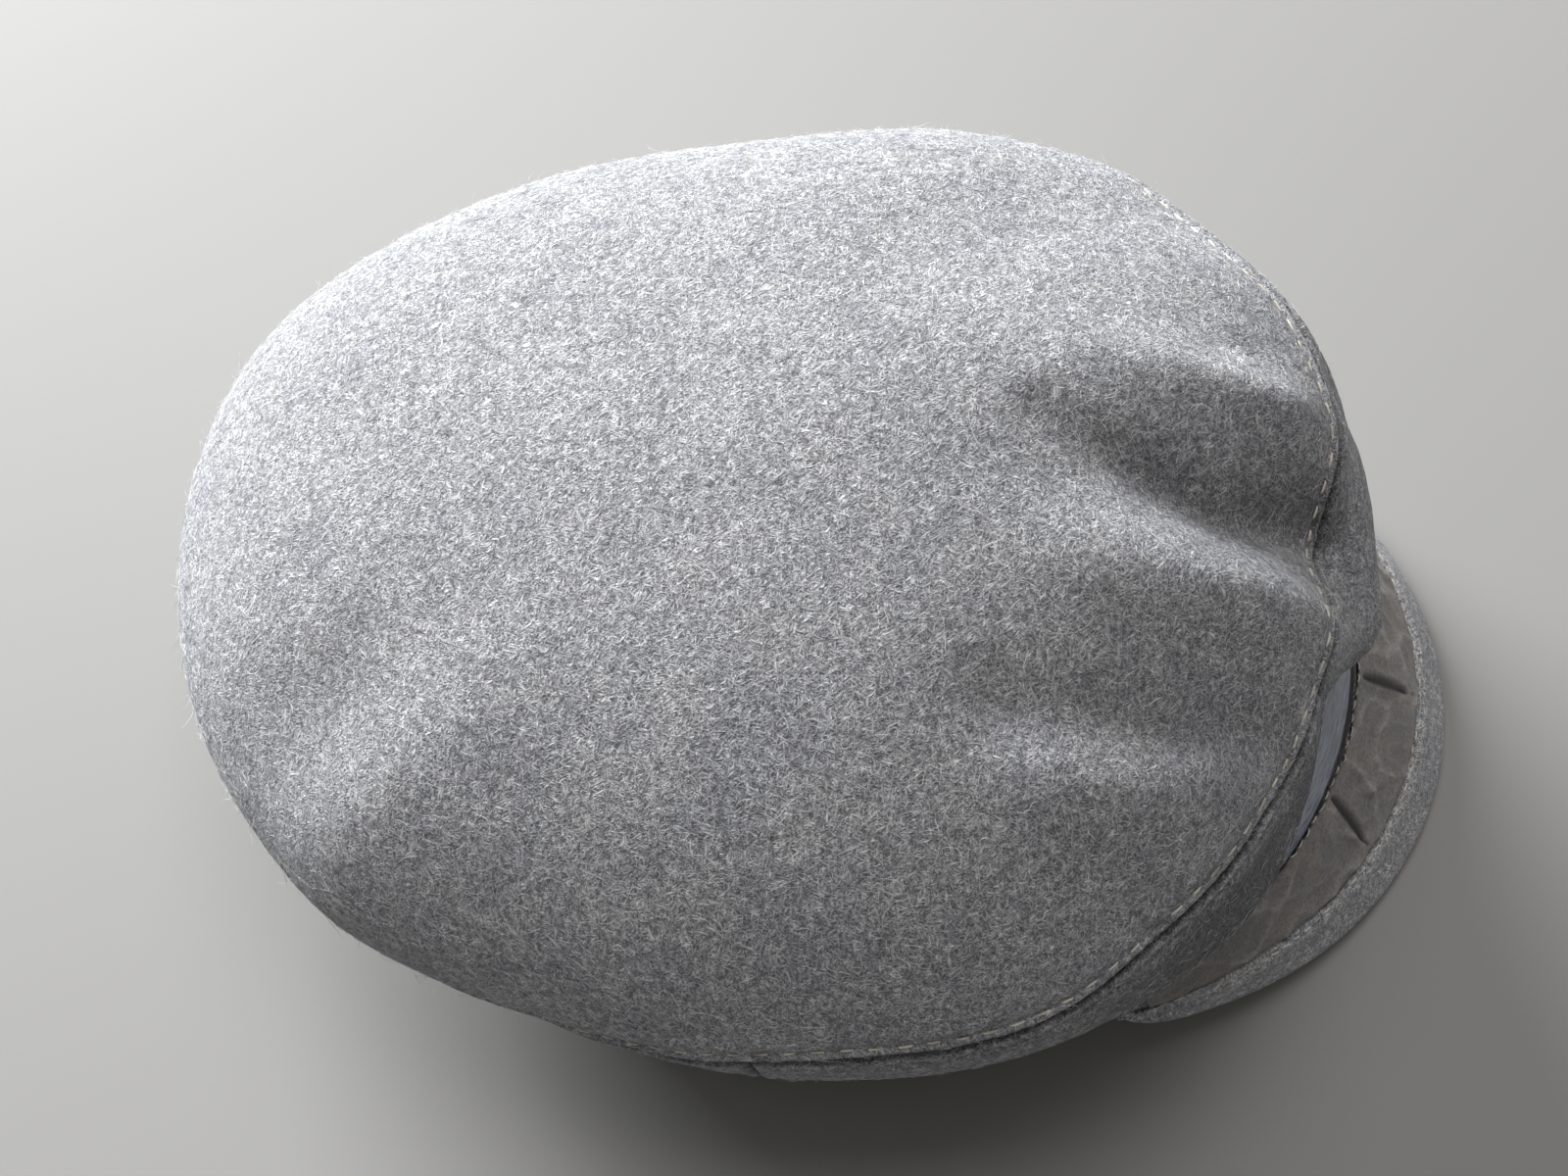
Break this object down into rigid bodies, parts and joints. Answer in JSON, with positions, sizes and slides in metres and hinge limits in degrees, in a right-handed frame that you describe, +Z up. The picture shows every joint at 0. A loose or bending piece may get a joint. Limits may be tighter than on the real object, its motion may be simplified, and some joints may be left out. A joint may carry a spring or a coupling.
{
  "type": "greek fisherman cap",
  "caption": "Greek fisherman cap in grey heather wool: soft stitched crown, headband with a satin braid, and a short cloth-covered peak.",
  "frame": {"origin": "middle of the outline's box, on the surface that the cap rests on", "axes": "+X to the wearer's left, +Y to the back of the cap, +Z up"},
  "size_m": [0.198, 0.2648, 0.1112],
  "materials": {
    "wool_heather": "milled heather wool, fuzzy",
    "wool_band": "milled heather wool, pressed",
    "satin_ribbon": "satin braid",
    "smooth_cloth": "crinkled smooth cloth",
    "cream_thread": "cotton topstitching thread"
  },
  "bodies": {
    "root": {"crown_top": "wool_heather", "crown_side_front": "wool_heather", "crown_side_back": "wool_heather", "headband": "wool_band", "band_ribbon": "satin_ribbon", "peak": "wool_band", "peak_panel": "smooth_cloth"}
  },
  "joints": []
}
